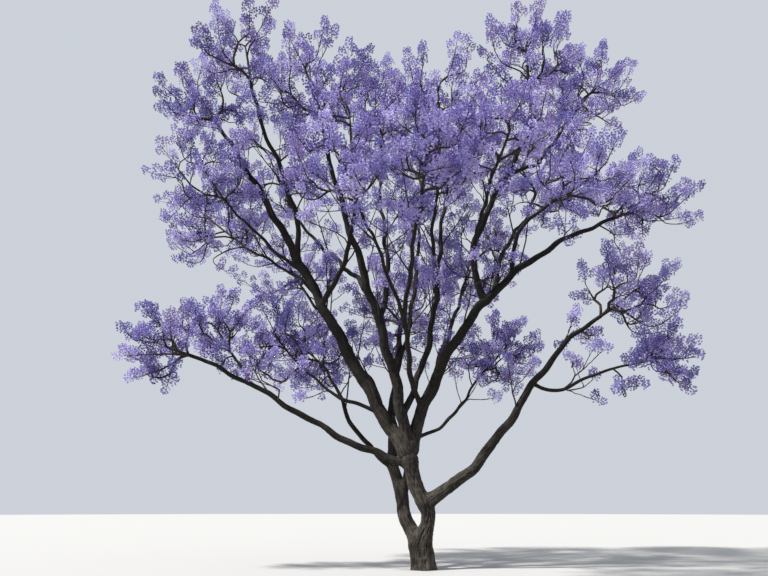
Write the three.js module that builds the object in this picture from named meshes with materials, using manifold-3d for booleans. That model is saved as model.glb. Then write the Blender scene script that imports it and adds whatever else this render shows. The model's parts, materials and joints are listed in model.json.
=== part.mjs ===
// A jacaranda in full bloom, life size: a trunk, its boughs, and masses of twigs and blossom on them.
// Millimetres, +Z up. The origin is on the ground, in the middle of the flat cut under the trunk.
// Seen from the front of the tree, +X is to the right and +Y is away.
import * as THREE from "three";
import { mergeVertices } from "three/addons/utils/BufferGeometryUtils.js";
import Module from "manifold-3d";

const wasm = await Module();
wasm.setup();

// Driving dimensions
const JOINT_GAP = 0.3; // between solids that meet
const TRUNK_SIDES = 20;
const ROOT_RIDGES = 5; // ridges of the root flare
const RIDGE_DEPTH = 0.09; // of the trunk's radius, at the ground
const RIDGE_HEIGHT = 280; // where a ridge has sunk to about a third
const COLLAR = 0.25; // swelling at a bough's foot, of its radius
const LIMB_STEP = 1300; // length of one straight piece of a bough
const FEWEST_STEPS = 4; // straight pieces of the shortest bough
const BOUGH_SIDES = [[250, 9], [125, 7], [0, 5]]; // sides of a bough that is wider across than this
const HANDLE = 0.383; // length of a bough curve's handles, of its chord
const STEM_IN = 0.4; // how far inside its mass a bough ends, of the mass's radius
const STEM_TAPER = 0.6; // radius of a stem's top, of its foot's
const STEM_NODES = [0.15, 0.33, 0.52]; // where twigs may leave a mass's stem, of the mass's radius
const STEM_SIDES = 6;
const FLATNESS = 0.95; // height of a mass, of its width
const SPACE_GAP = 25; // kept clear on each side of the plane between two masses
const BOUGH_GAP = 35; // kept clear between a bough and a spray or twig
const WOOD_PIECE = 400; // length of the straight pieces that stand for a bough when that is tested
const TEST_STEP = 180; // and distance between the spots of a spray or twig that are tested
const FEWEST_TWIGS = 3; // tried in the smallest mass
const TWIGS_PER_M2 = 2.1; // tried besides, for each square metre of the square on the mass's radius
const TWIG_SIDES = 3;
const TWIG_RADIUS = 12; // of a twig with one spray
const TWIG_GROWTH = 0.7; // power of the number of sprays, by which a twig is thicker
const TWIG_MOST = 24; // radius of the thickest twig
const WAY_BACK = 0.8; // weight of the way back to the stem, where a twig chooses what it grows from
const SPRAY_SIDES = 4;
const SPRAY_LENGTH = 0.58; // of its mass's radius
const LENGTH_RANGE = [0.8, 1.2]; // shortest and longest spray at a twig's end, of that length
const SPRAY_WIDTH = 0.6; // of its length
const SPRAY_THICKNESS = 0.65; // of its width
const BELLY = 0.48; // where a spray is widest, of its length
const END_FULLNESS = 1.15; // width of a spray at a twig's end, of one at its side
const SIDE_SPRAY = 0.85; // length of a side spray, of the one at its twig's end
const SIDE_ANGLE = 62; // degrees between a side spray and its twig
const SPRAY_DEPTHS = [0.98, 0.9, 0.8, 0.7, 0.6, 0.5]; // where a tip is tried, of the mass's radius
const CROWDING = 0.15; // of its length, what a spray keeps to itself on each side
const CORE = [0.2, 0.8]; // where it does so, of its length
// What each way weighs in where a spray points: outwards, astray, on along its bough, and up
const POINTING = { out: 0.9, astray: 0.4, onward: 0.3, up: 0.2 };
const GOLDEN = (Math.sqrt(5) - 1) / 2;
const LANES = [GOLDEN, 0.7548776662, 0.569840291, 0.8191725134]; // steps of the even spreads
const TRUNK_COLOUR = 0x6f6257;
const BOUGH_COLOUR = 0x3d332c;
const BLOSSOM_COLOURS = [0x8a7cc4, 0x978ace, 0xa498d7]; // dealt out to the masses in turn

// The trunk from the ground to its fork: height, lean to the right, and width across
const TRUNK = [
  [0, -20, 650],
  [130, -30, 620],
  [350, -50, 600],
  [600, -85, 600],
  [870, -5, 480],
  [1130, 95, 360],
  [1400, 105, 370],
  [1670, -20, 400],
  [1950, -175, 400],
  [2250, -265, 370],
  [2600, -345, 410],
  [2950, -385, 430],
];

// The boughs, each after the one it grows from. A heading is in degrees from the right, turning away
// from the front, and a climb in degrees above level. The columns are:
// name, what it grows from, and at what share of that one's length,
// the tip as heading, reach and height from the foot of the trunk,
// heading and climb where the bough starts, heading and climb where it ends,
// its width across at the foot and at the tip, and the radius of the mass that it carries
const BOUGHS = [
  ["rear_stem", "trunk", 0.115, [97, 3970, 7200], [135, 55], [85, 55], [360, 150], 2300],
  ["rear_low", "rear_stem", 0.32, [136, 4250, 5850], [190, 30], [130, 35], [150, 70], 1700],
  ["rear_left", "rear_stem", 0.45, [131, 6140, 9050], [180, 70], [150, 55], [160, 80], 2300],
  ["rear_right", "rear_stem", 0.2, [68, 5160, 9400], [30, 76], [60, 60], [220, 80], 2300],
  ["rear_high", "rear_stem", 0.71, [85, 4040, 12000], [335, 70], [75, 60], [150, 80], 2300],
  ["left_main", "trunk", 0.92, [177, 6250, 12900], [180, 58], [180, 56], [370, 100], 1750],
  ["right_main", "trunk", 0.94, [3, 5940, 9700], [5, 75], [0, 20], [350, 90], 1850],
  ["centre_left", "trunk", 0.98, [212, 3250, 11650], [238, 74], [222, 74], [310, 90], 2100],
  ["low_left", "trunk", 0.87, [185, 6230, 5350], [180, 15], [180, 20], [200, 90], 1450],
  ["low_left_rise", "low_left", 0.73, [184, 5130, 5450], [180, 80], [190, 55], [90, 60], 1400],
  ["low_right", "trunk", 0.54, [353, 4850, 6400], [355, 25], [355, 30], [310, 90], 1800],
  ["low_right_out", "low_right", 0.62, [350, 5350, 5000], [10, -35], [350, 5], [100, 60], 1400],
  ["mid_left", "left_main", 0.12, [169, 3500, 5350], [192, 15], [172, 45], [110, 60], 1700],
  ["left_high", "left_main", 0.54, [197, 5060, 13150], [305, 80], [195, 80], [160, 80], 1800],
  ["left_spread", "left_main", 0.49, [185, 5570, 9850], [185, 40], [190, 50], [110, 60], 1900],
  ["left_under", "left_main", 0.43, [162, 6040, 9600], [140, 50], [155, 40], [100, 60], 1950],
  ["left_inner", "left_main", 0.41, [243, 3950, 9700], [325, 50], [265, 35], [150, 80], 1750],
  ["centre_left_back", "centre_left", 0.38, [116, 2470, 13350], [65, 60], [40, 80], [150, 80], 2200],
  ["left_back", "centre_left", 0.45, [140, 6140, 12450], [110, 40], [150, 65], [140, 80], 2300],
  ["centre_back", "centre_left", 0.1, [57, 2310, 12300], [30, 60], [40, 70], [180, 90], 2200],
  ["centre_top", "centre_back", 0.42, [311, 940, 12050], [205, 80], [275, 80], [120, 70], 2100],
  ["centre_front", "right_main", 0.13, [268, 4300, 8400], [240, 45], [275, 30], [150, 80], 1700],
  ["centre_front_left", "centre_front", 0.4, [250, 4700, 8000], [250, 45], [250, 30], [100, 60], 1600],
  ["right_small", "right_main", 0.05, [43, 3020, 5600], [25, 15], [30, 40], [100, 60], 1400],
  ["right_rise", "right_main", 0.5, [335, 3450, 13000], [200, 55], [225, 80], [200, 90], 1750],
  ["right_rise_front", "right_rise", 0.24, [297, 3850, 9500], [275, 20], [280, 20], [120, 70], 1750],
  ["right_rise_out", "right_rise", 0.59, [10, 5170, 13550], [25, 20], [10, 50], [120, 70], 1850],
  ["right_mid", "right_main", 0.62, [334, 4000, 9300], [245, 50], [315, 10], [130, 70], 1800],
  ["right_back", "right_main", 0.54, [40, 5620, 12000], [70, 65], [50, 60], [140, 80], 2300],
];

// Directions, even spreads and solids

const UP = new THREE.Vector3(0, 0, 1);

// The unit vector at a heading and a climb in degrees
function direction(heading, climb) {
  const turn = THREE.MathUtils.degToRad(heading);
  const rise = THREE.MathUtils.degToRad(climb);
  const level = Math.cos(rise);
  return new THREE.Vector3(level * Math.cos(turn), level * Math.sin(turn), Math.sin(rise));
}

// A share from 0 to 1 for each index, so that the shares of one lane fill the range evenly
function even(index, lane) {
  return (0.5 + (index + 1) * LANES[lane]) % 1;
}

// A unit vector for two shares from 0 to 1: one goes evenly from straight down to straight up,
// the other once round
function around(rise, turn) {
  return direction(360 * turn, THREE.MathUtils.radToDeg(Math.asin(2 * rise - 1)));
}

function solidOf(geometry) {
  geometry.deleteAttribute("normal");
  geometry.deleteAttribute("uv");
  const merged = mergeVertices(geometry, 1e-3);
  const corners = merged.index.array;
  const triVerts = [];
  for (let i = 0; i < corners.length; i += 3) {
    const triangle = [...corners.subarray(i, i + 3)];
    if (new Set(triangle).size === 3) triVerts.push(...triangle);
  }
  const vertProperties = merged.getAttribute("position").array;
  const skin = new wasm.Mesh({ numProp: 3, vertProperties, triVerts: new Uint32Array(triVerts) });
  return new wasm.Manifold(skin);
}

// The largest body of a solid: loose scraps and sealed hollows are left out
function mainBody(solid) {
  return solid.decompose().reduce((most, body) => (body.volume() > most.volume() ? body : most));
}

// An upright cylinder of radius 1 whose rings are moved by place(ring, side, front),
// where side and front are a vertex's shares of the radius
function sweep(sides, rings, place) {
  const skin = new THREE.CylinderGeometry(1, 1, 1, sides, rings);
  const position = skin.getAttribute("position");
  for (let i = 0; i < position.count; i++) {
    const ring = Math.round((position.getY(i) + 0.5) * rings);
    const spot = place(ring, position.getX(i), position.getZ(i));
    position.setXYZ(i, spot.x, spot.y, spot.z);
  }
  return solidOf(skin);
}

// Two unit vectors across a way that make a right-handed set with it, the first as near as can be to face
function crossways(way, face) {
  const first = face.clone().addScaledVector(way, -face.dot(way)).normalize();
  return [first, new THREE.Vector3().crossVectors(way, first)];
}

// A closed skin through stations, each with a place, the way through it, and the half thickness and
// half width of the skin there. The thickness lies along face. A station of no width is a point.
function loft(sides, stations, face) {
  return sweep(sides, stations.length - 1, (ring, side, front) => {
    const { at, way, thick, wide } = stations[ring];
    const [thickWay, wideWay] = crossways(way, face);
    const spot = at.clone().addScaledVector(thickWay, front * thick);
    return spot.addScaledVector(wideWay, side * wide);
  });
}

// Trunk

const trunkLine = new THREE.CatmullRomCurve3(
  TRUNK.map(([height, lean]) => new THREE.Vector3(lean, 0, height)),
);

// The trunk with its skin moved outwards by extra. Its rings are level, so both ends are flat.
function trunkSolid(extra) {
  return sweep(TRUNK_SIDES, TRUNK.length - 1, (ring, side, front) => {
    const [height, lean, across] = TRUNK[ring];
    const angle = Math.atan2(side, front);
    const ridge = RIDGE_DEPTH * Math.exp(-height / RIDGE_HEIGHT) * Math.cos(ROOT_RIDGES * angle);
    const radius = (across / 2) * (1 + ridge) + extra;
    const top = ring === TRUNK.length - 1 ? extra : 0;
    return new THREE.Vector3(lean + radius * front, radius * side, height + top);
  });
}

// Boughs

// A bough's line is one cubic curve from the line that it grows from to its tip
function boughLine(parentLine, share, [heading, reach, height], off, end) {
  const foot = parentLine.getPointAt(share);
  const tip = direction(heading, 0).multiplyScalar(reach).setZ(height);
  const handle = HANDLE * foot.distanceTo(tip);
  const leaving = direction(...off).multiplyScalar(handle).add(foot);
  const arriving = direction(...end).multiplyScalar(-handle).add(tip);
  return new THREE.CubicBezierCurve3(foot, leaving, arriving, tip);
}

// The radius at a share of the length: an even taper, and a collar that swells the foot
function boughRadius(bough, share) {
  const [foot, tip] = bough.girth;
  const collar = COLLAR * Math.exp((-share * bough.length) / foot);
  return (THREE.MathUtils.lerp(foot, tip, share) / 2) * (1 + collar);
}

function boughSides(bough) {
  return BOUGH_SIDES.find(([across]) => bough.girth[0] > across)[1];
}

// The whole bough with its skin moved outwards by extra, from the middle of what it grows from
function boughSolid(bough, extra) {
  const rings = Math.max(FEWEST_STEPS, Math.round(bough.length / LIMB_STEP));
  const frames = bough.line.computeFrenetFrames(rings);
  return sweep(boughSides(bough), rings, (ring, side, front) => {
    const share = ring / rings;
    const radius = boughRadius(bough, share) + extra;
    const past = { 0: -extra, [rings]: extra }[ring] ?? 0;
    return bough.line
      .getPointAt(share)
      .addScaledVector(frames.tangents[ring], past)
      .addScaledVector(frames.binormals[ring], side * radius)
      .addScaledVector(frames.normals[ring], front * radius);
  });
}

function layOutBoughs() {
  const lines = new Map([["trunk", trunkLine]]);
  return BOUGHS.map(([name, parent, share, tip, off, end, girth, massRadius]) => {
    const line = boughLine(lines.get(parent), share, tip, off, end);
    lines.set(name, line);
    return { name, line, girth, massRadius, length: line.getLength() };
  });
}

// Each bough, less the trunk and the boughs before it, which it meets with a gap
function cutBoughs(boughs) {
  let taken = trunkSolid(JOINT_GAP);
  for (const bough of boughs) {
    bough.solid = mainBody(boughSolid(bough, 0).subtract(taken));
    taken = taken.add(boughSolid(bough, JOINT_GAP));
  }
}

// Masses: each is an upright ellipsoid, cut off half-way to its neighbours

function layOutMasses(boughs) {
  return boughs.map((bough, index) => {
    const { name, massRadius: radius } = bough;
    const foot = bough.line.getPointAt(1);
    const lean = bough.line.getTangentAt(1);
    const centre = foot.clone().addScaledVector(lean, STEM_IN * radius);
    return { name, index, foot, lean, centre, radius, stem: bough.girth[1] / 2 };
  });
}

// How far a point is on one mass's side of the plane between it and another
function onOwnSide(point, mass, other) {
  const power = (m) => point.distanceToSquared(m.centre) - m.radius ** 2;
  return (power(other) - power(mass)) / (2 * mass.centre.distanceTo(other.centre));
}

function inSpace(point, mass, masses) {
  const away = point.clone().sub(mass.centre);
  away.z /= FLATNESS;
  if (away.length() > mass.radius) return false;
  return masses.every((other) => other === mass || onOwnSide(point, mass, other) > SPACE_GAP);
}

// Straight pieces along the trunk and the boughs, each with the wood's radius there
function woodPieces(boughs) {
  const pieces = [];
  for (const bough of boughs) {
    const count = Math.ceil(bough.length / WOOD_PIECE);
    const points = bough.line.getSpacedPoints(count);
    for (let i = 0; i < count; i++) {
      const line = new THREE.Line3(points[i], points[i + 1]);
      pieces.push({ line, radius: boughRadius(bough, i / count) + BOUGH_GAP });
    }
  }
  return pieces;
}

// Whether a straight piece, this much across to each side, clears every one of a list of round pieces
function clears(straight, halfWidth, pieces) {
  const steps = Math.ceil(straight.distance() / TEST_STEP);
  const spot = new THREE.Vector3();
  const near = new THREE.Vector3();
  for (let i = 0; i <= steps; i++) {
    straight.at(i / steps, spot);
    for (const { line, radius } of pieces) {
      line.closestPointToPoint(spot, true, near);
      if (near.distanceTo(spot) < radius + halfWidth) return false;
    }
  }
  return true;
}

// Sprays: each widens from a point or a twig to four or three corners at its belly, and ends in a point

// The stations of a spray: its root, its belly and its tip
function sprayStations({ root, way, length, full }) {
  const at = (share) => root.clone().addScaledVector(way, share * length);
  const wide = (full * SPRAY_WIDTH * length) / 2;
  return [
    { at: root, way, thick: 0, wide: 0 },
    { at: at(BELLY), way, thick: wide * SPRAY_THICKNESS, wide },
    { at: at(1), way, thick: 0, wide: 0 },
  ];
}

// A spray as a round piece, for finding what it would touch
function asPiece({ root, way, length }) {
  const [low, high] = CORE.map((share) => root.clone().addScaledVector(way, share * length));
  return { line: new THREE.Line3(low, high), radius: CROWDING * length };
}

function sprayFits(spray, mass, masses, wood, others) {
  const [root, belly, tip] = sprayStations(spray);
  const [thickWay, wideWay] = crossways(spray.way, spray.face);
  const corners = [root.at, tip.at];
  for (const sign of [-1, 1]) {
    corners.push(belly.at.clone().addScaledVector(thickWay, sign * belly.thick));
    corners.push(belly.at.clone().addScaledVector(wideWay, sign * belly.wide));
  }
  if (!corners.every((corner) => inSpace(corner, mass, masses))) return false;
  const { line, radius } = asPiece(spray);
  return clears(line, belly.wide, wood) && clears(line, radius, others.map(asPiece));
}

// A spray whose tip lies outward from the middle of a mass, at a share of the way to its edge
function outerSpray(mass, outward, depth, pick) {
  const tip = outward.clone().multiplyScalar(mass.radius * depth);
  tip.z *= FLATNESS;
  tip.add(mass.centre);
  const way = outward.clone().multiplyScalar(POINTING.out);
  way.addScaledVector(around(even(pick, 1), even(pick, 2)), POINTING.astray);
  way.addScaledVector(mass.lean, POINTING.onward).addScaledVector(UP, POINTING.up).normalize();
  const length = SPRAY_LENGTH * mass.radius * THREE.MathUtils.lerp(...LENGTH_RANGE, even(pick, 3));
  const root = tip.addScaledVector(way, -length);
  return { root, way, length, full: END_FULLNESS, face: around(even(pick, 2), even(pick, 3)) };
}

function endSprays(mass, masses, wood) {
  const count = Math.round(FEWEST_TWIGS + TWIGS_PER_M2 * (mass.radius / 1000) ** 2);
  const sprays = [];
  for (let i = 0; i < count; i++) {
    const pick = i + count * mass.index;
    const outward = around((i + 0.5) / count, even(pick, 0));
    for (const depth of SPRAY_DEPTHS) {
      const spray = outerSpray(mass, outward, depth, pick);
      if (!sprayFits(spray, mass, masses, wood, sprays)) continue;
      sprays.push(spray);
      break;
    }
  }
  return sprays.sort((a, b) => a.root.distanceTo(mass.foot) - b.root.distanceTo(mass.foot));
}

// Twigs: each spray in turn, from the stem outwards, is joined to the node of the growth
// that is nearest by the straight way to it plus a share of the way back from there to the stem

function stemNodes(mass) {
  const nodes = [];
  for (const share of STEM_NODES) {
    const back = share * mass.radius;
    const at = mass.foot.clone().addScaledVector(mass.lean, back);
    nodes.push({ at, back, before: nodes.at(-1), load: 0 });
  }
  return nodes;
}

// The twig from a node to a spray, or none if no way is clear. It adds to the load of every node before it
function joinSpray(spray, nodes, wood, sprays) {
  const cost = (node) => node.at.distanceTo(spray.root) + WAY_BACK * node.back;
  const clear = (node, pieces) => clears(new THREE.Line3(node.at, spray.root), TWIG_RADIUS, pieces);
  const free = nodes.filter((node) => clear(node, wood)).sort((a, b) => cost(a) - cost(b));
  const others = (node) => sprays.filter((other) => other !== spray && other.root !== node.at);
  const from = free.find((node) => clear(node, others(node).map(asPiece))) ?? free[0];
  if (!from) return null;
  const step = from.at.distanceTo(spray.root) / 2;
  const halfWay = from.at.clone().lerp(spray.root, 0.5);
  const middle = { at: halfWay, back: from.back + step, before: from, load: 0 };
  const end = { at: spray.root, back: from.back + 2 * step, before: middle, load: 0 };
  for (let node = end; node; node = node.before) node.load++;
  nodes.push(middle, end);
  return { from, middle, end, spray };
}

// A spray at the middle of a twig, out to one side of it
function sideSpray({ from, middle, end, spray }, pick) {
  const along = end.at.clone().sub(from.at).normalize();
  const [side] = crossways(along, around(even(pick, 1), even(pick, 3)));
  const angle = THREE.MathUtils.degToRad(SIDE_ANGLE);
  const way = along.multiplyScalar(Math.cos(angle)).addScaledVector(side, Math.sin(angle));
  const face = around(even(pick, 2), even(pick, 0));
  return { root: middle.at, way, length: SIDE_SPRAY * spray.length, full: 1, face };
}

function twigRadius(node) {
  return Math.min(TWIG_RADIUS * node.load ** TWIG_GROWTH, TWIG_MOST);
}

// A twig and the spray at its end are one skin, which the twig runs into past the spray's root
function twigSolid({ from, middle, end, spray }) {
  const along = end.at.clone().sub(from.at).normalize();
  const [, belly, tip] = sprayStations(spray);
  const foot = twigRadius(middle);
  const neck = twigRadius(end);
  const stations = [
    { at: from.at, way: along, thick: foot, wide: foot },
    { at: end.at, way: along, thick: neck, wide: neck },
    belly,
    tip,
  ];
  return loft(TWIG_SIDES, stations, spray.face);
}

function stemSolid(mass, nodes) {
  const { foot, lean, stem } = mass;
  const top = nodes[STEM_NODES.length - 1];
  const start = foot.clone().addScaledVector(lean, JOINT_GAP);
  const stations = [
    { at: start, way: lean, thick: stem, wide: stem },
    { at: top.at, way: lean, thick: STEM_TAPER * stem, wide: STEM_TAPER * stem },
  ];
  return loft(STEM_SIDES, stations, UP);
}

function massSolid(mass, masses, wood) {
  const nodes = stemNodes(mass);
  const ends = endSprays(mass, masses, wood);
  const twigs = ends.map((spray) => joinSpray(spray, nodes, wood, ends)).filter((twig) => twig);
  const sprays = twigs.map((twig) => twig.spray);
  const pieces = [stemSolid(mass, nodes), ...twigs.map(twigSolid)];
  twigs.forEach((twig, i) => {
    const spray = sideSpray(twig, i + twigs.length * mass.index);
    if (!sprayFits(spray, mass, masses, wood, sprays)) return;
    sprays.push(spray);
    pieces.push(loft(SPRAY_SIDES, sprayStations(spray), spray.face));
  });
  return mainBody(wasm.Manifold.union(pieces));
}

// Meshes

const bark = new THREE.MeshStandardMaterial({ color: TRUNK_COLOUR, roughness: 0.95, metalness: 0 });
const boughBark = new THREE.MeshStandardMaterial({ color: BOUGH_COLOUR, roughness: 0.9, metalness: 0 });

function blossomFinish(index) {
  const color = new THREE.Color(BLOSSOM_COLOURS[index % BLOSSOM_COLOURS.length]);
  return new THREE.MeshStandardMaterial({ color, roughness: 0.8, metalness: 0, flatShading: true });
}

function addMesh(group, name, solid, material) {
  const { vertProperties, triVerts } = solid.getMesh();
  const geometry = new THREE.BufferGeometry();
  geometry.setAttribute("position", new THREE.BufferAttribute(vertProperties, 3));
  geometry.setIndex(new THREE.BufferAttribute(triVerts, 1));
  geometry.computeVertexNormals();
  const mesh = new THREE.Mesh(geometry, material);
  mesh.name = name;
  group.add(mesh);
}

const tree = new THREE.Group();
const boughs = layOutBoughs();
cutBoughs(boughs);
const masses = layOutMasses(boughs);
const wood = woodPieces(boughs);

addMesh(tree, "trunk", trunkSolid(0), bark);
for (const bough of boughs) addMesh(tree, `bough_${bough.name}`, bough.solid, boughBark);
for (const mass of masses) {
  addMesh(tree, `blossom_${mass.name}`, massSolid(mass, masses, wood), blossomFinish(mass.index));
}

export default tree;
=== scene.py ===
"""A jacaranda in full bloom, life size: its bark, its twigs, and panicles of flowers.

Metres, +Z up. The origin is on the ground, in the middle of the flat cut under the trunk. Seen from
the front of the tree, +X is to the right and +Y is away. Boughs, masses and twigs grow by the rule
of the solids, carried on to finer twigs.
"""

import json
import math

import bpy
import numpy as np
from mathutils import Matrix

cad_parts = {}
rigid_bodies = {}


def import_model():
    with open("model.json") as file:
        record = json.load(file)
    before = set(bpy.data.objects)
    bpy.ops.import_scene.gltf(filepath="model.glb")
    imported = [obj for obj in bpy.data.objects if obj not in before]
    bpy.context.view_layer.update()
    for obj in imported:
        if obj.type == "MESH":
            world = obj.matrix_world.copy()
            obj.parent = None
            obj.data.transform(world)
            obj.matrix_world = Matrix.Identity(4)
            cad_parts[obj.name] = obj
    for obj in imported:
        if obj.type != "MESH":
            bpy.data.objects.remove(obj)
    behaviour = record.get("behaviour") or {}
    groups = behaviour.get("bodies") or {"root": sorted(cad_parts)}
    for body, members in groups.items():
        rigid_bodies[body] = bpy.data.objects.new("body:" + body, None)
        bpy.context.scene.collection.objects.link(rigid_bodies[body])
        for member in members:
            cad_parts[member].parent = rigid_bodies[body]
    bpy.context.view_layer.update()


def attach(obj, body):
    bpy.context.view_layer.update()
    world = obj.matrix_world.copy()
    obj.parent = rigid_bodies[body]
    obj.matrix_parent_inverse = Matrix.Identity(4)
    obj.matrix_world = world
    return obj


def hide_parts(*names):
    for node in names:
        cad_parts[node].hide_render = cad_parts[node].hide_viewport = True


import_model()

# Limbs
HANDLE = 0.383  # of a bough's chord
COLLAR = 0.25  # swelling at a bough's foot, of its radius
LINE_POINTS = 201  # on each limb's line
STILL_END = 0.9  # over which a bough's winding fades at its ends
SLOW_WAVE = 0.034  # how far its long waves go either way
QUICK_WAVE = 0.012  # and its short ones
WAVES = [(2.1, 9, 1), (1.7, 8, -1)]  # length of the long ones, radians per metre and hand of the short

# The trunk's own relief
ROOT_RIDGES = 5
RIDGE_DEPTH = 0.09  # of the trunk's radius, at the ground
RIDGE_HEIGHT = 0.28  # where a root ridge has sunk to a third
GROOVE_HEADING = 258  # of the groove under the gap between the stems
GROOVE_DEPTH = 0.24  # of the radius
GROOVE_WIDTH = 0.3  # to either side, in radians
GROOVE_FOOT = (0.1, 0.7)  # heights between which it deepens
GROOVE_TOP = (0.85, 1.2)  # and ends
CALM = (2.15, 2.65)  # and furrows and lumps fade
TRUNK_DOME = (2.69, 2.95)  # and the trunk closes, inside the boughs
BOUGH_DOME = 1.3  # length of the dome at a bough's foot, of its radius
DOMED = 0.96  # of the square of the radius, lost at a dome's end

# Bark
TRUNK_FACE = (0.0105, 0.015)  # width and length of a face of the trunk's skin
BOUGH_FACE = 0.022  # width of a face of a bough's skin
RING_GAP = (0.03, 0.07)  # least and greatest between a bough's rings
SIDES = (9, 210)  # fewest and most
RIDGE_WIDTH = 0.04
RIDGE_LENGTHS = (0.2, 0.08)  # coarse and fine
COARSE_SHARE = 0.68  # of the relief
FURROW_DEPTH = (0.002, 0.028)  # least, and on a limb of full bark
FULL_BARK = 0.2  # radius of a limb with the deepest furrows
LUMP_LENGTH = 0.45
LUMPS = 0.16  # of the radius, from hollow to lump
JOIN_REACH = 0.75  # of the thinner limb's radius
AGE_AND_SHADE_HEIGHTS = (5.85, 1.35)  # heights from which, going down, the bark turns from the young colours, darkened as painted shade of the crown, to the aged ones
OLD_RADIUS = 0.17  # of a limb that looks as old as its height allows

# Growth in the masses, of a mass's radius where not said
STEM_IN = 0.4  # from a mass's foot to its middle
STEM_NODES = np.array([0.06, 0.15, 0.24, 0.33, 0.42, 0.52, 0.6])
FOOT_NODES = np.array([-1.1, -0.92, -0.76, -0.62, -0.5, -0.38, -0.27, -0.17, -0.08])
FLATNESS = 0.95  # height of a mass, of its width
FEWEST_TWIGS = 17  # tried in the smallest mass
TWIGS_PER_M2 = 4.3  # tried besides, for its radius squared
SPRAY_LENGTH = 0.36
SPRAY_WIDTH = 0.5  # of its length
SPRAY_DEPTHS = np.array([0.88, 0.82, 0.76, 0.7, 0.63, 0.56, 0.48])  # where a tip is tried
AXIS_RISE = 0.07  # what a spray's tip curves up, of its length
WAY_BACK = 0.45  # weight of the way back to the stem
SIDE_ANGLE = 62  # degrees between a side spray and its twig
SIDE_SPRAY = 0.85  # its length, of the one at its twig's end
CROWDING = 0.1  # of its length, kept to itself by a spray
BOUGH_ROOM = 0.16  # in metres, between a bough and a spray
SIDE_ROOM = 0.12  # or of a side spray
TWIG_ROOM = 0.02  # or of a twig
OUT, ASTRAY, ONWARD, UPWARD = 0.9, 0.45, 0.3, 0.25  # weights of a spray's directions
GOLDEN = (math.sqrt(5) - 1) / 2
LANES = np.array([GOLDEN, 0.7548776662, 0.569840291, 0.8191725134])  # steps of the even spreads
TWIG_RADIUS = 0.0062  # in metres, of a twig with one panicle
TWIG_GROWTH = 0.44  # power of the number of panicles
CORE = np.array([0, 0, 5])  # blossom grows away from here
CORE_SPAN = (-1, 3)  # from the front of the crown to its back
SHADED = (0.15, 0.6)  # of those that point to the core grow, in front and behind

# Share of its sprays that a mass grows, where the crown is more open
GROWN = {
    "left_main": 0.9, "left_high": 0.84, "left_spread": 0.86, "left_under": 0.8, "left_inner": 0.5,
    "left_back": 0.68, "rear_left": 0.66, "centre_left_back": 0.82, "centre_top": 0.82,
    "centre_back": 0.85, "rear_high": 0.82,
}

# Slender branches on the bare length of the boughs
BRANCHES_PER_M = 1.7
LOWEST_BRANCH = 3.7  # height under which none leaves a bough
BARE_FROM = (0.25, 0.4)  # where they start on a bough of a bough, and of the trunk
BRANCH_REACH = (0.75, 1.7)  # of a branch from the bough's skin
FORK_REACH = (0.3, 0.55)  # of each of its forks
SPARSE_LENGTH = 0.42  # of the sprays at their ends
SPARSE = 3  # panicles on each of these sprays

# Panicles and flowers
PANICLES = 5  # on each spray
PANICLE_LENGTH = (0.19, 0.29)
STALK_RADII = np.array([0.0062, 0.0045, 0.002])  # at its foot, bend and end
FLOWERS = 24  # on each panicle
FLOWER_LENGTH = (0.036, 0.052)
LOBE = (0.62, 29, 1.0)  # reach from the flower's middle, half width in degrees, and height
LOBES = 5
TINTS = {
    "lilac_pale": (0.51, 0.465, 0.77), "lilac": (0.365, 0.315, 0.63),
    "violet": (0.265, 0.222, 0.53), "violet_blue": (0.215, 0.197, 0.495),
    "violet_deep": (0.125, 0.1, 0.315), "mauve": (0.305, 0.24, 0.51),
}

# The trunk from the ground to its fork, in millimetres: height, lean to the right, and width across
TRUNK = [
    [0, -20, 650], [130, -30, 620], [350, -50, 600], [600, -85, 600],
    [870, -5, 480], [1130, 95, 360], [1400, 105, 370], [1670, -20, 400],
    [1950, -175, 400], [2250, -265, 370], [2600, -345, 410], [2950, -385, 430],
]

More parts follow.
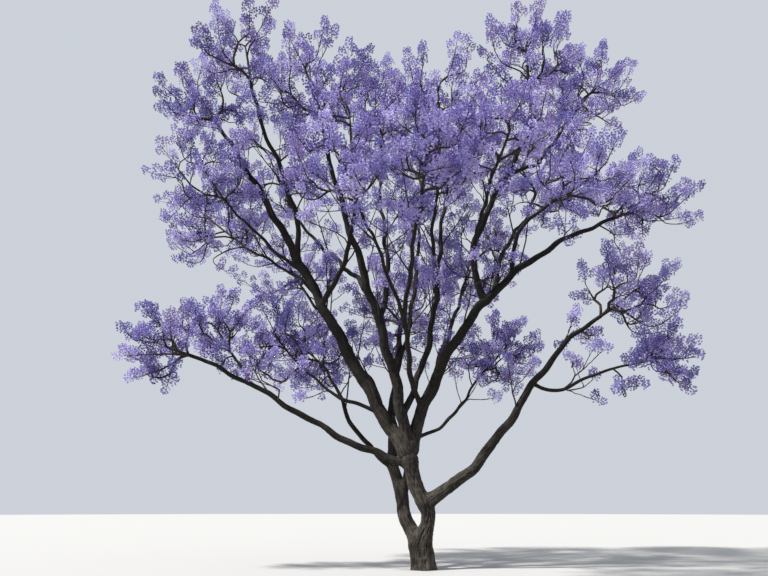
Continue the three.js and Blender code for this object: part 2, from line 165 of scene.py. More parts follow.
# The boughs, each after the one it grows from, in millimetres and degrees. The columns are: name, what
# it grows from and at what share of its length, the tip as heading, reach and height from the foot of
# the trunk, heading and climb where the bough starts, heading and climb where it ends, its width across
# at the foot and at the tip, and the radius of its mass
BOUGHS = [
    ["rear_stem", "trunk", 0.115, [97, 3970, 7200], [135, 55], [85, 55], [360, 150], 2300],
    ["rear_low", "rear_stem", 0.32, [136, 4250, 5850], [190, 30], [130, 35], [150, 70], 1700],
    ["rear_left", "rear_stem", 0.45, [131, 6140, 9050], [180, 70], [150, 55], [160, 80], 2300],
    ["rear_right", "rear_stem", 0.2, [68, 5160, 9400], [30, 76], [60, 60], [220, 80], 2300],
    ["rear_high", "rear_stem", 0.71, [85, 4040, 12000], [335, 70], [75, 60], [150, 80], 2300],
    ["left_main", "trunk", 0.92, [177, 6250, 12900], [180, 58], [180, 56], [370, 100], 1750],
    ["right_main", "trunk", 0.94, [3, 5940, 9700], [5, 75], [0, 20], [350, 90], 1850],
    ["centre_left", "trunk", 0.98, [212, 3250, 11650], [238, 74], [222, 74], [310, 90], 2100],
    ["low_left", "trunk", 0.87, [185, 6230, 5350], [180, 15], [180, 20], [200, 90], 1450],
    ["low_left_rise", "low_left", 0.73, [184, 5130, 5450], [180, 80], [190, 55], [90, 60], 1400],
    ["low_right", "trunk", 0.54, [353, 4850, 6400], [355, 25], [355, 30], [310, 90], 1800],
    ["low_right_out", "low_right", 0.62, [350, 5350, 5000], [10, -35], [350, 5], [100, 60], 1400],
    ["mid_left", "left_main", 0.12, [169, 3500, 5350], [192, 15], [172, 45], [110, 60], 1700],
    ["left_high", "left_main", 0.54, [197, 5060, 13150], [305, 80], [195, 80], [160, 80], 1800],
    ["left_spread", "left_main", 0.49, [185, 5570, 9850], [185, 40], [190, 50], [110, 60], 1900],
    ["left_under", "left_main", 0.43, [162, 6040, 9600], [140, 50], [155, 40], [100, 60], 1950],
    ["left_inner", "left_main", 0.41, [243, 3950, 9700], [325, 50], [265, 35], [150, 80], 1750],
    ["centre_left_back", "centre_left", 0.38, [116, 2470, 13350], [65, 60], [40, 80], [150, 80], 2200],
    ["left_back", "centre_left", 0.45, [140, 6140, 12450], [110, 40], [150, 65], [140, 80], 2300],
    ["centre_back", "centre_left", 0.1, [57, 2310, 12300], [30, 60], [40, 70], [180, 90], 2200],
    ["centre_top", "centre_back", 0.42, [311, 940, 12050], [205, 80], [275, 80], [120, 70], 2100],
    ["centre_front", "right_main", 0.13, [268, 4300, 8400], [240, 45], [275, 30], [150, 80], 1700],
    ["centre_front_left", "centre_front", 0.4, [250, 4700, 8000], [250, 45], [250, 30], [100, 60], 1600],
    ["right_small", "right_main", 0.05, [43, 3020, 5600], [25, 15], [30, 40], [100, 60], 1400],
    ["right_rise", "right_main", 0.5, [335, 3450, 13000], [200, 55], [225, 80], [200, 90], 1750],
    ["right_rise_front", "right_rise", 0.24, [297, 3850, 9500], [275, 20], [280, 20], [120, 70], 1750],
    ["right_rise_out", "right_rise", 0.59, [10, 5170, 13550], [25, 20], [10, 50], [120, 70], 1850],
    ["right_mid", "right_main", 0.62, [334, 4000, 9300], [245, 50], [315, 10], [130, 70], 1800],
    ["right_back", "right_main", 0.54, [40, 5620, 12000], [70, 65], [50, 60], [140, 80], 2300],
]

QUARTERS = ("rear", "centre", "left", "right")
UP = np.array([0, 0, 1.0])
BATCH = 4000  # points measured against the wood at once
chance = np.random.default_rng(19)
scene = bpy.context.scene


# Directions, even spreads and lines


def size(vectors):
    """The length of each vector."""
    return np.linalg.norm(vectors, axis=-1)


def unit(vectors):
    """Each vector divided by its length."""
    return vectors / np.maximum(size(vectors)[..., None], 1e-12)


def direction(heading, climb):
    """The unit vector at a heading and a climb in degrees."""
    turn, rise = np.radians(heading), np.radians(climb)
    level = np.cos(rise)
    return np.stack([level * np.cos(turn), level * np.sin(turn), np.sin(rise) + 0 * turn], -1)


def even(index, lane):
    """The part after the point of (index + 1) steps of the lane: shares that fill 0 to 1 evenly."""
    return (0.5 + (index + 1) * LANES[lane]) % 1


def around(rise, turn):
    """A unit vector whose height is 2 rise - 1 and whose heading is a full circle times turn."""
    return direction(360 * turn, np.degrees(np.arcsin(2 * rise - 1)))


def across(ways):
    """Two unit vectors that make a right-handed set with each way."""
    steep = np.abs(ways[..., 2:]) > 0.8
    helper = np.where(steep, np.array([1.0, 0, 0]), UP)
    first = unit(np.cross(ways, helper))
    return first, np.cross(ways, first)


def squared(vector, ways):
    """The vector made square to each way, as a unit vector, and another that is square to both."""
    first = unit(vector - (vector * ways).sum(-1, keepdims=True) * ways)
    return first, np.cross(ways, first)


def on_circle(turn, first, second):
    """The cosine of each turn, in radians, times the first vector plus its sine times the second."""
    return np.cos(turn)[..., None] * first + np.sin(turn)[..., None] * second


def fade(value, start, end):
    """0 up to the start, 1 from the end on, and even between them. The end may be the lower one."""
    return np.clip((value - start) / (end - start), 0, 1)


class Line:
    """A curve through close points, read by the share of its length."""

    def __init__(self, points):
        self.points = points
        steps = size(np.diff(points, axis=0))
        self.length = steps.sum()
        self.shares = np.concatenate([[0], np.cumsum(steps)]) / self.length

    def at(self, share):
        return np.stack([np.interp(share, self.shares, self.points[:, k]) for k in range(3)], -1)

    def way(self, share, reach=0.01):
        """The direction from a little before each share to a little after it."""
        share = np.asarray(share, float)
        return unit(self.at(np.minimum(share + reach, 1)) - self.at(np.maximum(share - reach, 0)))


def bezier(foot, leaving, arriving, tip, handle, share):
    """The cubic curve that leaves the foot and arrives at the tip along unit vectors. Its two ends and
    the two ends of its handles are each weighed by their Bernstein polynomial of the share."""
    t = np.asarray(share, float)[:, None]
    ends = foot, foot + handle * leaving, tip - handle * arriving, tip
    weights = [(1 - t) ** 3, 3 * t * (1 - t) ** 2, 3 * t * t * (1 - t), t**3]
    return sum(weight * end for weight, end in zip(weights, ends))


def catmull(stations, share):
    """The curve through stations whose slope at each is half the step from the one before to the next."""
    before, after = 2 * stations[:1] - stations[1:2], 2 * stations[-1:] - stations[-2:-1]
    padded = np.concatenate([before, stations, after])
    place = np.asarray(share, float) * (len(stations) - 1)
    k = np.minimum(place.astype(int), len(stations) - 2)
    t = (place - k)[:, None]
    a, b, c, d = padded[k], padded[k + 1], padded[k + 2], padded[k + 3]
    return 0.5 * (2 * b + (c - a) * t + (2 * a - 5 * b + 4 * c - d) * t**2 + (3 * b - a - 3 * c + d) * t**3)


# Trunk and boughs

stations = np.array([[lean, 0, height, width] for height, lean, width in TRUNK]) / 1000
trunk_curve = catmull(stations, np.linspace(0, 1, LINE_POINTS))


class Limb:
    """The trunk or a bough: its line, its radius along it, and where it comes from."""

    def __init__(self, name, line, index, parent=None, girth=None, mass_radius=None):
        self.name, self.line, self.index, self.parent = name, line, index, parent
        self.girth, self.mass_radius = girth, mass_radius

    def radius(self, share):
        """An even taper, and a collar that swells the foot and dies away over the foot's width."""
        share = np.asarray(share, float)
        if self.parent is None:
            return np.interp(share, self.line.shares, trunk_curve[:, 3]) / 2
        foot, tip = self.girth
        collar = COLLAR * np.exp(-share * self.line.length / foot)
        return (foot + (tip - foot) * share) / 2 * (1 + collar)


def meander(points, index):
    """A bough's points, winding to and fro both ways across it. Each way adds a long sine wave and a
    short one, which fade out at the bough's ends."""
    line = Line(points)
    along = line.shares * line.length
    still = fade(along, 0, STILL_END) * fade(line.length - along, 0, STILL_END)
    for lane, way in enumerate(across(unit(points[-1:] - points[:1]))):
        length, pace, hand = WAVES[lane]
        slow = SLOW_WAVE * np.sin(math.tau * (along / length + even(index, lane + 1)))
        quick = QUICK_WAVE * np.sin(pace * along + hand * index)
        points = points + (still * (slow + quick))[:, None] * way
    return points


def lay_out_limbs():
    """The trunk, and each bough as one cubic curve from the line that it grows from to its tip."""
    limbs = {"trunk": Limb("trunk", Line(trunk_curve[:, :3]), 0)}
    for index, (name, parent, share, tip, off, end, girth, mass_radius) in enumerate(BOUGHS, 1):
        foot = limbs[parent].line.at(share)
        heading, reach, height = tip
        top = np.append(direction(heading, 0)[:2] * reach, height) / 1000
        handle = HANDLE * size(top - foot)
        shares = np.linspace(0, 1, LINE_POINTS)
        line = Line(meander(bezier(foot, direction(*off), direction(*end), top, handle, shares), index))
        limbs[name] = Limb(name, line, index, parent, np.array(girth) / 1000, mass_radius / 1000)
    return limbs


limbs = lay_out_limbs()
boughs = [limb for limb in limbs.values() if limb.parent]


def wood_beads(some_limbs, step):
    """Points a step apart along the limbs' middles, and the limb's radius at each."""
    places, radii = [], []
    for limb in some_limbs:
        shares = np.linspace(0, 1, max(2, math.ceil(limb.line.length / step)))
        places.append(limb.line.at(shares))
        radii.append(limb.radius(shares))
    return np.concatenate(places), np.concatenate(radii)


def gap_to_wood(points, places, radii):
    """How far each point is from the nearest of some beads of wood, measured to the bead's skin."""
    parts = np.array_split(points, len(points) // BATCH + 1)
    return np.concatenate([(size(part[:, None] - places) - radii).min(1) for part in parts])


# Bark skins


def wavy(rows, columns, around_count, along_count, seed):
    """Smooth noise from 0 to 1 on a grid that closes round a limb: random knots at even places,
    joined by smooth steps both ways. Rows run along the limb, in knots, and columns round it, in turns."""
    knots = np.random.default_rng(seed).random((along_count + 2, around_count))
    u = (columns % 1) * around_count
    i, j = np.clip(rows.astype(int), 0, along_count), u.astype(int) % around_count
    a, b = rows - i, u - np.floor(u)
    a, b = a * a * (3 - 2 * a), b * b * (3 - 2 * b)
    k = (j + 1) % around_count
    low = knots[i, j] * (1 - b) + knots[i, k] * b
    high = knots[i + 1, j] * (1 - b) + knots[i + 1, k] * b
    return low * (1 - a) + high * a


def furrowed(along, turn, girth, length, seed):
    """Bark from 0 in a furrow to 1 on a ridge: one less the folded height of long wavy noise, whose
    ridges wander sideways by a second noise, with a finer layer of the same on top."""
    ridges = max(5, round(girth / RIDGE_WIDTH))
    knots, fine_knots = [max(2, math.ceil(length / each)) for each in RIDGE_LENGTHS]
    sway = wavy(along / length * knots, turn, max(3, ridges // 3), knots, seed + 1) - 0.5
    coarse = wavy(along / length * knots, turn + 0.9 * sway / ridges, ridges, knots, seed)
    fine = wavy(along / length * fine_knots, turn + 0.5 * sway / ridges, 2 * ridges, fine_knots, seed + 2)
    coarse, fine = 1 - np.abs(2 * coarse - 1), 1 - np.abs(2 * fine - 1)
    return np.clip(1.5 * (COARSE_SHARE * coarse + (1 - COARSE_SHARE) * fine) - 0.35, 0, 1)


def joined_to(limb):
    """The limb that this one grows from, those that grow from it, and those that share its foot."""
    feet = {limb.name, limb.parent} - {None}
    return [other for other in limbs.values() if other is not limb and {other.name, other.parent} & feet]


def fillet(spots, outward, limb):
    """The skin, standing out where another limb meets it: by a quarter of the reach of the join at the
    crease, less with the square of the way from it."""
    swell = np.zeros(len(spots))
    low, high = spots.min(0) - 0.5, spots.max(0) + 0.5
    for other in joined_to(limb):
        places, radii = wood_beads([other], 0.03)
        near = np.all((places > low) & (places < high), axis=1)
        if near.any():
            places, radii = places[near], radii[near]
            reach = JOIN_REACH * min(radii.max(), limb.radius(0.0 if limb.parent else 0.8))
            gap = np.abs(gap_to_wood(spots, places, radii))
            swell = np.maximum(swell, reach / 4 * np.clip(1 - gap / reach, 0, 1) ** 2)
    return spots + outward * swell[:, None]


def skin_grid(limb):
    """A limb's girth at its foot, the shares of its length where its skin has rings, and the turns
    where it has sides."""
    girth, length = math.tau * float(limb.radius(0.0)), limb.line.length
    face, gap = TRUNK_FACE
    if limb.parent:
        face, gap = BOUGH_FACE, np.clip(0.3 * limb.radius(0.5), *RING_GAP)
    sides = int(np.clip(round(girth / face), *SIDES))
    return girth, np.linspace(0, 1, max(8, math.ceil(length / gap)) + 1), np.arange(sides) / sides


def ring_axes(limb, share):
    """Two unit vectors across the limb at each share: square to its line, and level for the trunk."""
    if limb.parent is None:
        return squared(np.array([1.0, 0, 0]), np.tile(UP, (len(share), 1)))
    chord = unit(limb.line.points[-1:] - limb.line.points[:1])
    return squared(across(chord)[0], limb.line.way(share))


def trunk_relief(reach, radius, height, angle):
    """The reach of the trunk's skin, with root ridges that are a cosine round it and die away upwards,
    and less a groove that is a bell curve round it."""
    flare = RIDGE_DEPTH * np.exp(-height / RIDGE_HEIGHT)
    lobes = flare[:, None] * np.cos(ROOT_RIDGES * (angle + math.pi / 2))
    seam = np.exp(-(((angle - math.radians(GROOVE_HEADING)) / GROOVE_WIDTH) ** 2))
    deep = fade(height, *GROOVE_FOOT) * fade(height, *GROOVE_TOP[::-1])
    return reach + radius[:, None] * lobes - GROOVE_DEPTH * (radius * deep)[:, None] * seam


def bark_skin(limb):
    """The limb's skin: rings round its line whose reach is the radius there, plus the bark's ridges and
    lumps, closed in by a dome where the limb ends inside others. Gives the grid of points, how high on
    a ridge each of them is, and the share of the length of each ring."""
    girth, share, turns = skin_grid(limb)
    spine, radius = limb.line.at(share), limb.radius(share)
    length, height = limb.line.length, spine[:, 2]
    along = (share * length)[:, None] + 0 * turns
    turn = turns + 0 * along
    angle = math.tau * turn
    ridge = furrowed(along, turn, girth, length, 40 + limb.index)
    lumps = wavy(along / LUMP_LENGTH, turn, 5, math.ceil(length / LUMP_LENGTH), 90 + limb.index)
    calm = 0 * height if limb.parent else fade(height, *CALM)
    depth = np.interp(radius, (0, FULL_BARK), FURROW_DEPTH) * (1 - 0.85 * calm)
    reach = radius[:, None] + depth[:, None] * (ridge - 0.6)
    reach = reach + LUMPS * (radius * (1 - calm))[:, None] * (lumps - 0.5)
    if limb.parent:
        dome = fade(share * length, BOUGH_DOME * radius[0], 0)
    else:
        dome = fade(height, *TRUNK_DOME)
        reach = trunk_relief(reach, radius, height, angle)
    reach = reach * np.sqrt(1 - DOMED * dome**2)[:, None]
    first, second = ring_axes(limb, share)
    outward = on_circle(angle, first[:, None], second[:, None])
    spots = (spine[:, None] + outward * reach[..., None]).reshape(-1, 3)
    spots = fillet(spots, outward.reshape(-1, 3), limb).reshape(outward.shape)
    if limb.parent is None:
        spots[0, :, 2] = 0
    spots[..., 2] = np.maximum(spots[..., 2], 0)
    return spots, ridge, share


def grid_faces(rings, sides):
    """Quads between each ring of points and the next, closed round."""
    ring, side = np.meshgrid(np.arange(rings - 1), np.arange(sides), indexing="ij")
    here, there = ring * sides + side, ring * sides + (side + 1) % sides
    return np.stack([here, there, there + sides, here + sides], -1).reshape(-1, 4)


def capped(spots):
    """A closed skin: its corners, the grid's quads, and a fan of triangles from the middle of each end."""
    rings, sides = spots.shape[:2]
    middles = np.stack([spots[0].mean(0), spots[-1].mean(0)])
    side = np.arange(sides)
    after = (side + 1) % sides
    last = (rings - 1) * sides
    foot = np.stack([after, side, 0 * side + rings * sides], -1)
    top = np.stack([last + side, last + after, 0 * side + rings * sides + 1], -1)
    corners = np.concatenate([spots.reshape(-1, 3), middles])
    return corners, [grid_faces(rings, sides), np.concatenate([foot, top])]


def stand(name, data):
    """A new object in the scene."""
    made = bpy.data.objects.new(name, data)
    scene.collection.objects.link(made)
    return made


def put(name, corners, face_sets, finish, smooth=False, numbers=None):
    """A mesh object from its corners and arrays of faces, with attributes of one number per corner."""
    mesh = bpy.data.meshes.new(name)
    mesh.vertices.add(len(corners))
    mesh.vertices.foreach_set("co", np.ascontiguousarray(corners, np.float32).ravel())
    loops = np.concatenate([faces.ravel() for faces in face_sets])
    sizes = np.concatenate([np.full(len(faces), faces.shape[1]) for faces in face_sets])
    mesh.loops.add(len(loops))
    mesh.loops.foreach_set("vertex_index", loops.astype(np.int32))
    mesh.polygons.add(len(sizes))
    mesh.polygons.foreach_set("loop_start", (np.cumsum(sizes) - sizes).astype(np.int32))
    mesh.polygons.foreach_set("use_smooth", np.full(len(sizes), smooth))
    for key, values in (numbers or {}).items():
        layer = mesh.attributes.new(key, "FLOAT", "POINT")
        layer.data.foreach_set("value", np.ascontiguousarray(values, np.float32))
    mesh.update(calc_edges=True)
    mesh.validate()
    mesh.materials.append(finish.material)
    return stand(name, mesh)


def joined(parts):
    """Several meshes as one. Sets of faces in the same place go together if their faces have as many
    corners."""
    corners, sets, base = [], {}, 0
    for places, face_sets in parts:
        corners.append(places)
        for k, faces in enumerate(face_sets):
            sets.setdefault((k, faces.shape[1]), []).append(faces + base)
        base += len(places)
    return np.concatenate(corners), [np.concatenate(some) for some in sets.values()]


def bark_piece(name, some_limbs, finish):
    """The skins of some limbs as one mesh, with how high on a ridge each corner is, and a number highest on
    thick wood low down: partly how aged the bark is, partly painted shade of the crown, which darkens the
    wood high up.
    """
    parts, furrow, age = [], [], []
    for limb in some_limbs:
        spots, ridge, share = bark_skin(limb)
        parts.append(capped(spots))
        furrow += [ridge.ravel(), [ridge[0].mean(), ridge[-1].mean()]]
        # painted shade: high up under the crown the bark takes the darker young colours, as well as on
        # thin, young wood
        ring_age_and_shade = fade(limb.line.at(share)[:, 2], *AGE_AND_SHADE_HEIGHTS) * fade(limb.radius(share), 0, OLD_RADIUS)
        age += [np.repeat(ring_age_and_shade, ridge.shape[1]), ring_age_and_shade[[0, -1]]]
    numbers = {"furrow": np.concatenate(furrow), "age": np.concatenate(age)}
    return put(name, *joined(parts), finish, True, numbers)


# Masses: each is an upright ellipsoid, cut off half-way to its neighbours

mass_foot = np.array([limb.line.at(1.0) for limb in boughs])
mass_lean = np.array([limb.line.way(1.0) for limb in boughs])
mass_radius = np.array([limb.mass_radius for limb in boughs])
mass_centre = mass_foot + mass_lean * STEM_IN * mass_radius[:, None]
bough_beads = wood_beads(boughs, 0.12)


def owner(points):
    """The mass in whose space each point lies, by the least of squared way to the middle less squared
    radius, or -1 outside all their ellipsoids."""
    away = points[:, None] - mass_centre
    power = (away**2).sum(2) - mass_radius**2
    own = power.argmin(1)
    inside = (away * [1, 1, 1 / FLATNESS])[np.arange(len(points)), own]
    return np.where(size(inside) <= mass_radius[own], own, -1)


def clear_of_wood(points, room):
    """Whether each point is further than room from every bough's skin."""
    return gap_to_wood(points, *bough_beads) > room


def on_axis(root, way, length, share):
    """Places along the axes of sprays, at a row of shares each: straight along the way, and upwards by
    the square of the share."""
    reach = np.asarray(length)[..., None]
    rise = UP * AXIS_RISE * (reach * share**2)[..., None]
    return root[..., None, :] + way[..., None, :] * (share * reach)[..., None] + rise


class Spray:
    """A spindle of panicles along an axis from a root. Pick is its number in the even spreads."""

    def __init__(self, root, way, length, mass, pick, sparse=False):
        self.root, self.way, self.length, self.mass, self.pick = root, way, length, mass, pick
        self.sparse = sparse

    def axis(self, shares):
        return on_axis(self.root, self.way, self.length, np.asarray(shares, float))


def end_sprays(mass):
    """The sprays at twigs' ends: tips spread evenly round the ellipsoid, each at the first depth where
    the spray stays in the mass's space, clear of the boughs and of the sprays before it. Gives the
    sprays, the nearest first, and spots along them."""
    radius, centre, lean = mass_radius[mass], mass_centre[mass], mass_lean[mass]
    count = round(FEWEST_TWIGS + TWIGS_PER_M2 * radius**2)
    open_way = unit(unit(centre - CORE) + 0.5 * UP)
    shaded = np.interp(centre[1], CORE_SPAN, SHADED)
    grown = GROWN.get(boughs[mass].name, 1)
    steps = np.array([0.25, 0.45, 0.65, 0.85])
    made, cores = [], np.zeros((0, 3))
    for i in range(count):
        pick = i + count * mass
        outward = around((i + 0.5) / count, even(pick, 0))
        if even(i, 3) > grown or (outward @ open_way < 0 and even(pick, 2) > shaded):
            continue
        stray = around(even(pick, 1), even(pick, 2))
        way = unit(OUT * outward + ASTRAY * stray + ONWARD * lean + UPWARD * UP)
        length = SPRAY_LENGTH * radius * (0.8 + 0.4 * even(pick, 3))
        roots = centre + SPRAY_DEPTHS[:, None] * radius * outward * [1, 1, FLATNESS] - way * length
        core = roots[:, None] + way * (steps * length)[:, None]
        spots = core.reshape(-1, 3)
        fits = (owner(spots) == mass) & clear_of_wood(spots, BOUGH_ROOM)
        if len(cores):
            fits &= size(spots[:, None] - cores).min(1) > CROWDING * length + 0.12
        fits = fits.reshape(len(roots), -1).all(1)
        if fits.any():
            best = int(fits.argmax())
            made.append(Spray(roots[best], way, length, mass, pick))
            cores = np.concatenate([cores, core[best]])
    made.sort(key=lambda spray: size(spray.root - mass_foot[mass]))
    return made, cores


class Growth:
    """The twigs of one mass: nodes that later twigs may leave from, and chains of them. A node has its
    place, the way back to the stem's foot, the node before it, its direction and its panicles."""

    def __init__(self, mass):
        limb, foot, lean = boughs[mass], mass_foot[mass], mass_lean[mass]
        radius, length = mass_radius[mass], limb.line.length
        self.mass, self.nodes, self.chains = mass, [], []
        for share in FOOT_NODES[-FOOT_NODES * radius < 0.75 * length]:
            along = 1 + share * radius / length
            self.add(limb.line.at(along), 0, -1, limb.line.way(along))
        stem, ids = [foot], [self.add(foot, 0, -1, lean)]
        bend = around(even(mass, 1), even(mass, 2)) * 0.12 + UP * 0.1
        for share in STEM_NODES:
            back = share * radius
            stem.append(foot + lean * back + bend * back * share)
            ids.append(self.add(stem[-1], back, ids[-1], lean))
        self.chains.append((np.array(stem), ids))

    def add(self, place, back, before, way):
        self.nodes.append({"at": place, "back": back, "before": before, "way": way, "load": 0})
        return len(self.nodes) - 1

    def nearest(self, spray):
        """The node nearest to the spray's root, by the straight way plus a share of the way back to the
        stem: the first of six whose straight way is clear of the boughs."""
        places, backs = [np.array([node[key] for node in self.nodes]) for key in ("at", "back")]
        span = size(places - spray.root)
        order = np.argsort(span + WAY_BACK * backs + np.where(span < 0.12, 9, 0))
        for node in order[:6]:
            path = places[node] + (spray.root - places[node]) * np.linspace(0.3, 1, 6)[:, None]
            if clear_of_wood(path, TWIG_ROOM).all():
                return int(node)
        return int(order[0])

    def join(self, spray, load, start):
        """Grows a twig from the start node to the spray's root, on one curve that leaves the node
        onwards and arrives along the spray's axis, with a sway to either side. Gives its nodes."""
        node = self.nodes[start]
        span = size(node["at"] - spray.root)
        leaving = unit(1.15 * node["way"] + unit(spray.root - node["at"]))
        shares = [0, 0.28, 0.52, 0.76, 1]
        curve = bezier(node["at"], leaving, spray.way, spray.root, 0.4 * span, shares)
        sway = across(spray.way)[0] * (0.14 if spray.sparse else 0.07) * span
        curve[1:4] += np.array([[0.7], [-0.8], [0.6]]) * sway * (2 * even(spray.pick, 2) - 1)
        ids = [start]
        for before, place in zip(curve, curve[1:]):
            back = self.nodes[ids[-1]]["back"] + size(place - before)
            ids.append(self.add(place, back, ids[-1], unit(place - before)))
        self.carry(ids[-1], load)
        self.chains.append((curve, ids))
        return ids

    def carry(self, node, load):
        """Adds panicles to what a node bears, and all the nodes back to the foot."""
        while node >= 0:
            self.nodes[node]["load"] += load
            node = self.nodes[node]["before"]


def side_spray(growth, ids, spray):
    """A spray out to one side, from the middle of a twig."""
    along = unit(growth.nodes[ids[-1]]["at"] - growth.nodes[ids[0]]["at"])
    side, _ = squared(around(even(spray.pick, 1), even(spray.pick, 3)), along)
    angle = math.radians(SIDE_ANGLE)
    way = unit(along * math.cos(angle) + side * math.sin(angle) + 0.15 * UP)
    root = growth.nodes[ids[2]]["at"]
    return Spray(root, way, SIDE_SPRAY * spray.length, spray.mass, spray.pick + 7919)


def sparse_spray(growth, made, node, root, way, pick):
    """Adds a small spray of few panicles where it touches no bough, and gives the nodes of its twig."""
    spray = Spray(root, way, SPARSE_LENGTH, growth.mass, pick, sparse=True)
    if not clear_of_wood(spray.axis([0, 0.35, 0.7, 1]), SIDE_ROOM).all():
        return []
    made.append(spray)
    return growth.join(spray, SPARSE, node)


def slender_branches(growth):
    """Slender branches on the bare length of the bough, turned round it by the golden angle from one
    to the next. Each ends in a sparse spray, and has one more on either side."""
    limb = boughs[growth.mass]
    bare = limb.line.length - 0.7 * limb.mass_radius
    start = BARE_FROM[limb.parent == "trunk"]
    made = []
    for i in range(round(BRANCHES_PER_M * (1 - start) * bare)):
        pick = i + 53 * growth.mass
        place = (start + (1 - start) * even(pick, 1)) * bare / limb.line.length
        foot, way = limb.line.at(place), limb.line.way(place)
        side = on_circle(math.tau * even(i + growth.mass, 0), *across(way))
        if side[2] < -0.1 or foot[2] < LOWEST_BRANCH:
            continue
        leave = unit(way + 0.85 * side + 0.2 * UP)
        reach = limb.radius(place) + np.interp(even(pick, 2), (0, 1), BRANCH_REACH)
        node = growth.add(foot, 0, -1, unit(1.3 * way + side))
        ids = sparse_spray(growth, made, node, foot + leave * reach, unit(leave + 0.3 * UP), pick)
        cross = unit(np.cross(leave, around(even(pick, 3), even(pick, 0))))
        for k, hand in ((2, 1), (3, -1)) if ids else ():
            off = unit(0.7 * leave + hand * cross + 0.2 * UP)
            root = growth.nodes[ids[k]]["at"] + off * np.interp(even(pick + k, 1), (0, 1), FORK_REACH)
            sparse_spray(growth, made, ids[k], root, off, pick + k)
    return made


def grow(mass):
    """All the twigs and sprays of one mass. Each spray at a twig's end has one beside it where that
    has room."""
    growth = Growth(mass)
    ends, cores = end_sprays(mass)
    sprays = slender_branches(growth)
    for spray in ends:
        ids = growth.join(spray, PANICLES, growth.nearest(spray))
        sprays.append(spray)
        side = side_spray(growth, ids, spray)
        core = side.axis([0.4, 0.6, 0.8, 1])
        apart = size(core[:, None] - cores).min() > 0.1
        if apart and (owner(core) == mass).all() and clear_of_wood(core, SIDE_ROOM).all():
            growth.carry(ids[2], PANICLES)
            sprays.append(side)
            cores = np.concatenate([cores, core])
    return growth, sprays


grown_masses = [grow(mass) for mass in range(len(boughs))]
growths = [growth for growth, _ in grown_masses]
sprays = [spray for _, some in grown_masses for spray in some]
spray_rows = [np.array(row) for row in zip(*[(spray.root, spray.way, spray.length) for spray in sprays])]


# Panicles


def stays(foot, tip, bearer):
    """Which panicles stay: the last few on a sparse spray, and on others those whose foot is in the
    mass's space, whose tip is hardly outside it, and whose middle is clear of the boughs."""
    mass = np.array([spray.mass for spray in sprays])[bearer]
    sparse = np.array([spray.sparse for spray in sprays])[bearer]
    out = size((tip - mass_centre[mass]) / mass_radius[mass, None] / [1, 1, FLATNESS])
    inside = (out < 1.08) & clear_of_wood((foot + tip) / 2, 0.05) & (owner(foot) == mass)
    return np.where(sparse, np.tile(np.arange(PANICLES) >= PANICLES - SPARSE, len(sprays)), inside)


def strewn(rows, count):
    """Rows of shares from 0 to 1 in even steps, each off its place by up to three tenths of a step."""
    return (np.arange(count) + chance.uniform(-0.3, 0.3, (rows, count))) / (count - 1)


def spiral(ways, count):
    """Unit vectors square to each way, turned round it by the golden angle from one to the next."""
    turn = math.tau * (GOLDEN * np.arange(1, count + 1) + chance.random((len(ways), 1)))
    first, second = across(ways)
    return on_circle(turn, first[:, None], second[:, None])


class Panicles:
    """Every panicle, in rows: its foot, way and length, the number of the spray that bears it, and where
    its stalk leaves the spray's axis, as a share and as a place. On each spray they stand off the axis,
    furthest off in its belly, and the last is on its tip."""

    def __init__(self):
        _, onward, reach = spray_rows
        share = np.clip(0.2 + 0.8 * strewn(len(sprays), PANICLES), 0.12, 1.02)
        share[:, -1] = 1
        outward = unit(spiral(onward, PANICLES) + 0.85 * UP)
        belly = np.sqrt(np.clip(1 - ((share - 0.55) / 0.62) ** 2, 0, 1))
        off = 0.5 * SPRAY_WIDTH * reach[:, None] * belly * chance.uniform(0.55, 1, share.shape)
        off[:, -1] = 0
        leave = np.clip(share - 0.22, 0.02, 1)
        leave[:, -1] = 0.8
        foot = on_axis(*spray_rows, share) + outward * off[..., None]
        loose = unit(chance.normal(size=foot.shape))
        way = 0.55 * onward[:, None] + 0.55 * outward * (off > 0)[..., None] + 0.4 * UP + 0.3 * loose
        foot, way = foot.reshape(-1, 3), unit(way).reshape(-1, 3)
        length = chance.uniform(*PANICLE_LENGTH, share.shape).ravel()
        bearer = np.repeat(np.arange(len(sprays)), PANICLES)
        keep = stays(foot, foot + way * length[:, None], bearer)
        self.foot, self.way, self.length, self.spray = foot[keep], way[keep], length[keep], bearer[keep]
        self.leave = leave.ravel()[keep]
        self.stalk = on_axis(*spray_rows, leave).reshape(-1, 3)[keep]


panicles = Panicles()


# Twigs and stalks


def twig_radius(load):
    """A twig's radius, a power of the number of panicles that it bears."""
    return TWIG_RADIUS * np.maximum(load, 1) ** TWIG_GROWTH


def panicle_stalks():
    """Each panicle's stalk from the spray's axis, curving into the panicle's own axis."""
    end = panicles.foot + 0.85 * panicles.way * panicles.length[:, None]
    points = np.stack([panicles.stalk, panicles.foot, end], 1)
    return points, np.tile(STALK_RADII, (len(end), 1))


def spray_twigs():
    """Each spray's axis as a tapering twig, as far as where its last stalk leaves it."""
    end = np.zeros(len(sprays))
    np.maximum.at(end, panicles.spray, panicles.leave)
    shares = np.array([[0, 0.33, 0.66, 1.0]]) * np.maximum(end, 0.1)[:, None]
    radii = np.tile(twig_radius(np.array([6, 4.5, 2.5, 1.2])), (len(sprays), 1))
    return on_axis(*spray_rows, shares), radii


def main_twigs():
    """The twigs between stem and sprays, each ring as thick as what it bears asks, and half as thick
    again at the foot, in sets with as many rings as each other."""
    groups = {}
    for growth in growths:
        loads = np.array([node["load"] for node in growth.nodes])
        cap = boughs[growth.mass].radius(1.0) * 0.98
        for points, ids in growth.chains:
            bears = loads[ids].astype(float)
            bears[0] = bears[1]
            radii = np.minimum(twig_radius(bears) * np.linspace(1.5, 1, len(ids)), cap)
            smooth = catmull(np.column_stack([points, radii]), np.linspace(0, 1, 2 * len(ids) - 1))
            groups.setdefault(len(smooth), []).append(smooth)
    return [(np.array(some)[..., :3], np.array(some)[..., 3]) for some in groups.values()]


